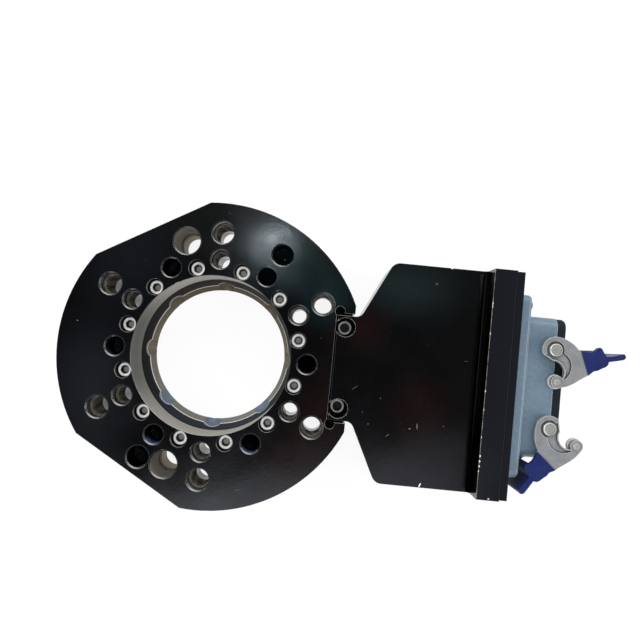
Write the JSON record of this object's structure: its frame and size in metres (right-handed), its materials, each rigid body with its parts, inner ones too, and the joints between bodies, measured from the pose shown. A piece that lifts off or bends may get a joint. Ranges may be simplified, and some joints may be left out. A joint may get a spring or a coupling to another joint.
{
  "type": "robotic tool changer plate",
  "caption": "Round tool-side changer plate with a ball-lock ring, bolt circles and a side electrical module ending in a rectangular connector with U-shaped locking levers.",
  "frame": {"origin": "centre of the locking bore on the coupling face", "axes": "+X from the bore to the electrical module and its connector, +Z from the coupling face to the tool face, +Y completes a right-handed set"},
  "size_m": [0.3598, 0.199, 0.0565],
  "materials": {
    "plate_anodise": "satin black anodised",
    "module_anodise": "satin black anodised",
    "hardened_steel": "ground and hardened",
    "bright_screw": "bright zinc",
    "bolt_steel": "blackened, worn bright at the rim",
    "insert_steel": "bright thread insert",
    "pivot_steel": "dull bright rivet",
    "roller_steel": "turned",
    "housing_coat": "blue grey powder coat",
    "die_cast_metal": "as cast",
    "grip_plastic": "dark blue moulded",
    "black_screw": "blackened",
    "seal_rubber": "black moulded",
    "insert_plastic": "light grey moulded",
    "block_plastic": "black moulded",
    "contact_brass": "bright contact",
    "wire_jacket": "smooth insulation"
  },
  "bodies": {
    "changer": {"tool_plate": "plate_anodise", "locking_ring": "hardened_steel", "ring_screws": "bright_screw", "outer_thread_inserts": "insert_steel", "inner_thread_inserts": "insert_steel", "guide_bushes": "hardened_steel", "module_body": "module_anodise", "module_bolts": "bolt_steel", "locating_pins": "bright_screw", "base_cover": "module_anodise", "cover_screws": "bright_screw", "signal_block": "block_plastic", "signal_pads": "contact_brass", "block_seal": "seal_rubber", "block_screws": "bright_screw", "wire_loom": "wire_jacket", "head_gasket": "seal_rubber", "connector_plate": "module_anodise", "plate_screws": "bright_screw", "flange_gasket": "seal_rubber", "connector_housing": "housing_coat", "flange_screws": "black_screw", "mouth_seal": "seal_rubber", "contact_insert": "insert_plastic", "contact_sockets": "contact_brass", "insert_screws": "bright_screw", "earth_terminals": "contact_brass", "lever_pivots": "pivot_steel"},
    "upper_lever": {"upper_arm_front": "die_cast_metal", "upper_arm_rear": "die_cast_metal", "upper_grip": "grip_plastic", "upper_roller_pins": "pivot_steel"},
    "lower_lever": {"lower_arm_front": "die_cast_metal", "lower_arm_rear": "die_cast_metal", "lower_grip": "grip_plastic", "lower_roller_pins": "pivot_steel"},
    "upper_front_wheel": {"upper_roller_front": "roller_steel"},
    "upper_rear_wheel": {"upper_roller_rear": "roller_steel"},
    "lower_front_wheel": {"lower_roller_front": "roller_steel"},
    "lower_rear_wheel": {"lower_roller_rear": "roller_steel"}
  },
  "joints": [
    {"name": "upper_lever_swing", "type": "hinge", "parent": "changer", "child": "upper_lever", "pos_m": [0.2164, 0.0246, 0.0285], "axis": [0, 0, 1], "range_deg": [0, 110]},
    {"name": "lower_lever_swing", "type": "hinge", "parent": "changer", "child": "lower_lever", "pos_m": [0.2164, -0.0246, 0.0285], "axis": [0, 0, 1], "range_deg": [0, 110]},
    {"name": "upper_front_wheel_spin", "type": "hinge", "parent": "upper_lever", "child": "upper_front_wheel", "pos_m": [0.219, 0.0047, 0.0495], "axis": [0, 0, 1], "continuous": true},
    {"name": "upper_rear_wheel_spin", "type": "hinge", "parent": "upper_lever", "child": "upper_rear_wheel", "pos_m": [0.219, 0.0047, 0.0075], "axis": [0, 0, 1], "continuous": true},
    {"name": "lower_front_wheel_spin", "type": "hinge", "parent": "lower_lever", "child": "lower_front_wheel", "pos_m": [0.23421, -0.03385, 0.0495], "axis": [0, 0, 1], "continuous": true},
    {"name": "lower_rear_wheel_spin", "type": "hinge", "parent": "lower_lever", "child": "lower_rear_wheel", "pos_m": [0.23421, -0.03385, 0.0075], "axis": [0, 0, 1], "continuous": true}
  ]
}
